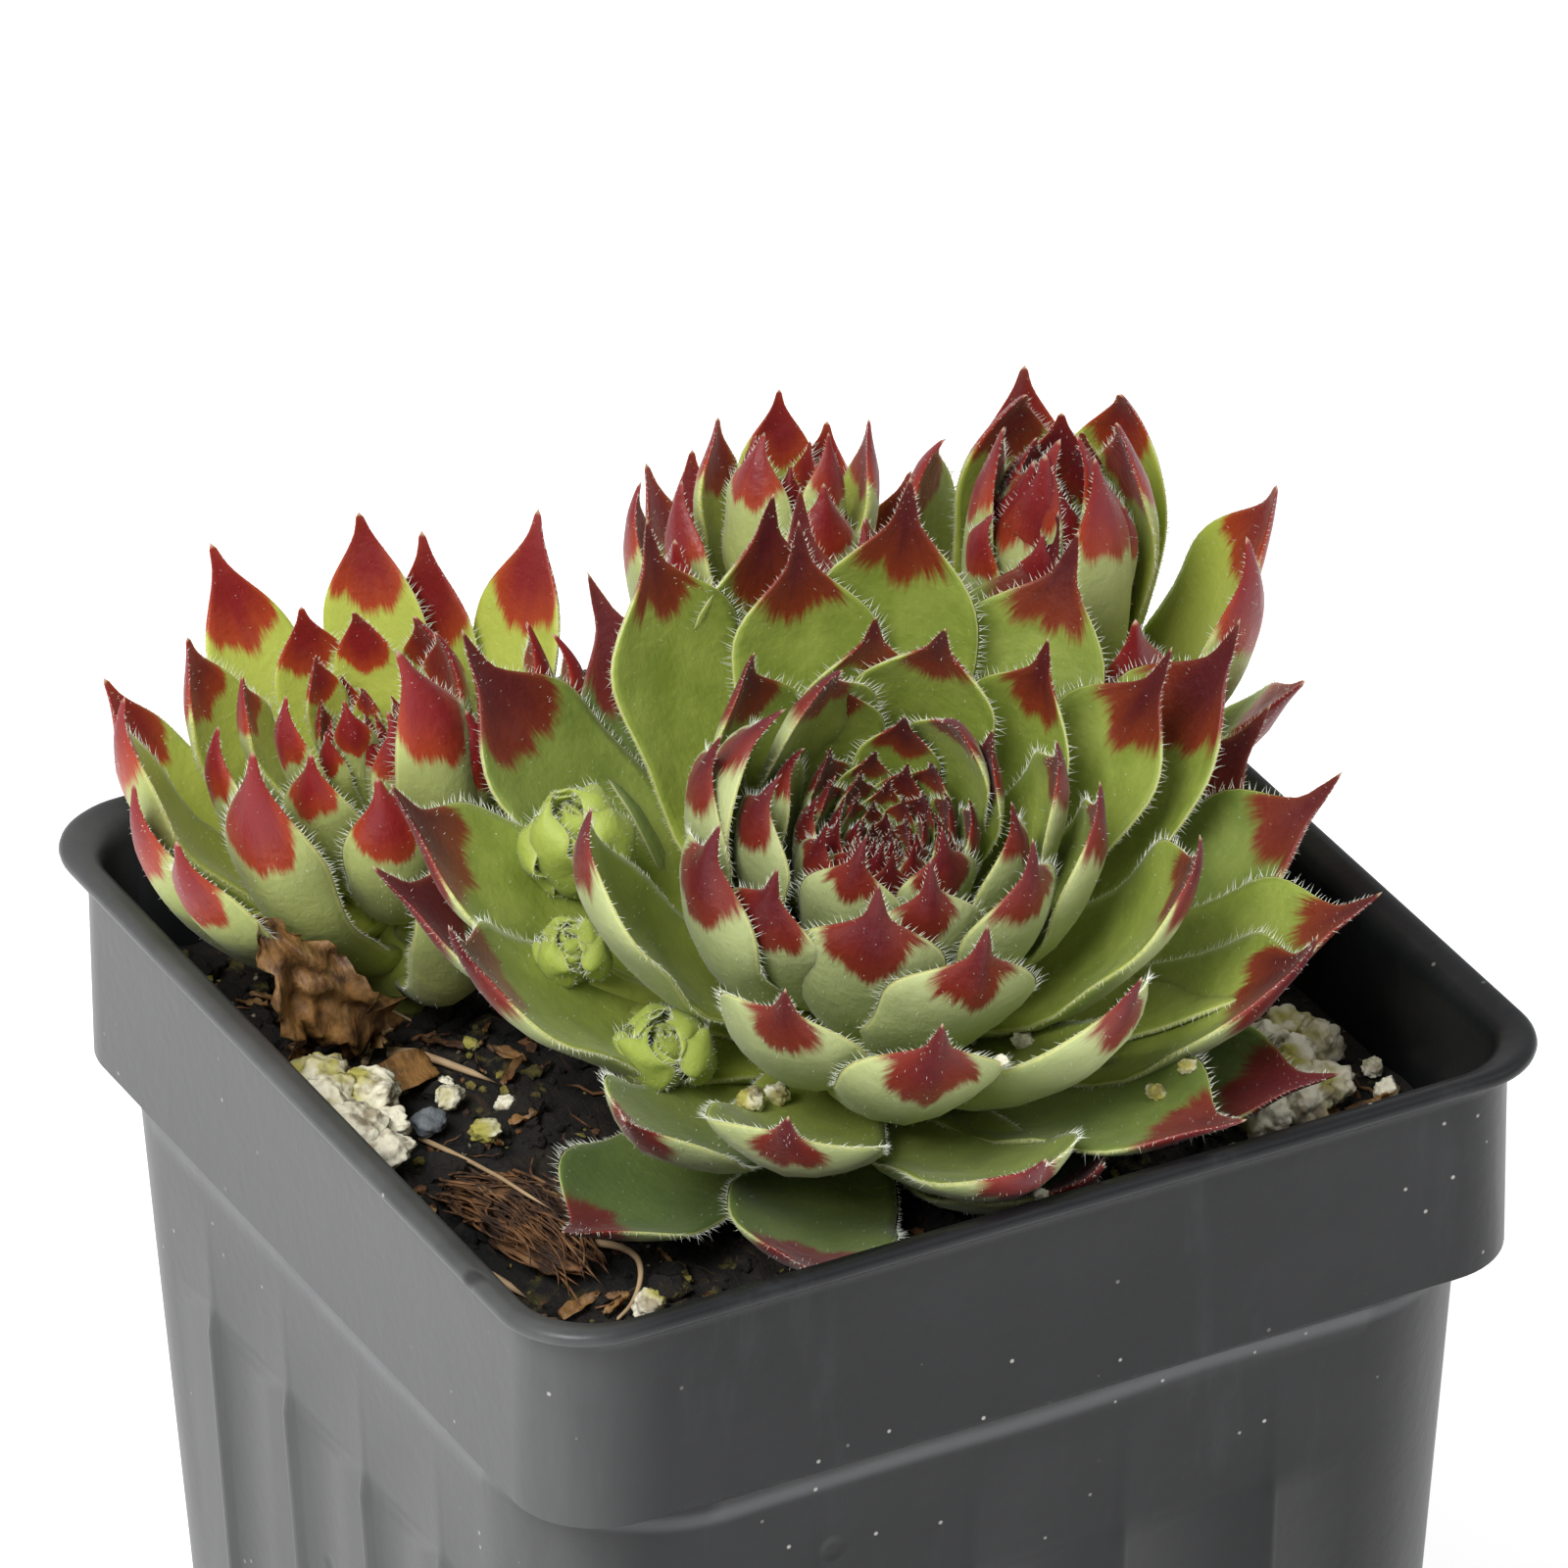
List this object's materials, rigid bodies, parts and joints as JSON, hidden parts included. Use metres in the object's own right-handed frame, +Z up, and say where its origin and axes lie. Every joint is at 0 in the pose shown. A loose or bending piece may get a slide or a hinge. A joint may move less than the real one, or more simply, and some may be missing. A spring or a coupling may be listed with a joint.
{
  "type": "potted houseleek",
  "caption": "Hens-and-chicks succulent, one large red-tipped rosette with three offsets and young buds, in a square black nursery pot of soil.",
  "frame": {"origin": "middle of the pot's base, on the surface it stands on", "axes": "+Z up, X and Y square to the pot's sides, -Y towards the side where the large rosette's lowest leaves lie"},
  "size_m": [0.0922, 0.0962, 0.1213],
  "materials": {
    "pot_plastic": "satin, scuffed and dusty",
    "soil": "moist dark peat",
    "leaf_green": "waxy, fleshy leaves with dark red tips and pale hairs on their margins",
    "perlite": "rough, white with yellow-green algae",
    "stone": "rough",
    "dry_leaf": "withered, papery",
    "bark": "coarse fibre",
    "root": "dry root"
  },
  "bodies": {
    "root": {"pot": "pot_plastic", "soil": "soil", "rosette_main": "leaf_green", "rosette_left": "leaf_green", "rosette_middle": "leaf_green", "rosette_right": "leaf_green", "dry_leaf_1": "dry_leaf", "dry_leaf_2": "dry_leaf", "bark_fibre": "bark", "bark_flake_1": "bark", "bark_flake_2": "bark", "root_thread": "root", "stone": "stone", "perlite_clump_left": "perlite", "perlite_clump_right": "perlite", "perlite_1": "perlite", "perlite_2": "perlite", "perlite_3": "perlite", "perlite_4": "perlite", "perlite_5": "perlite", "perlite_6": "perlite", "perlite_7": "perlite", "perlite_8": "perlite"}
  },
  "joints": []
}
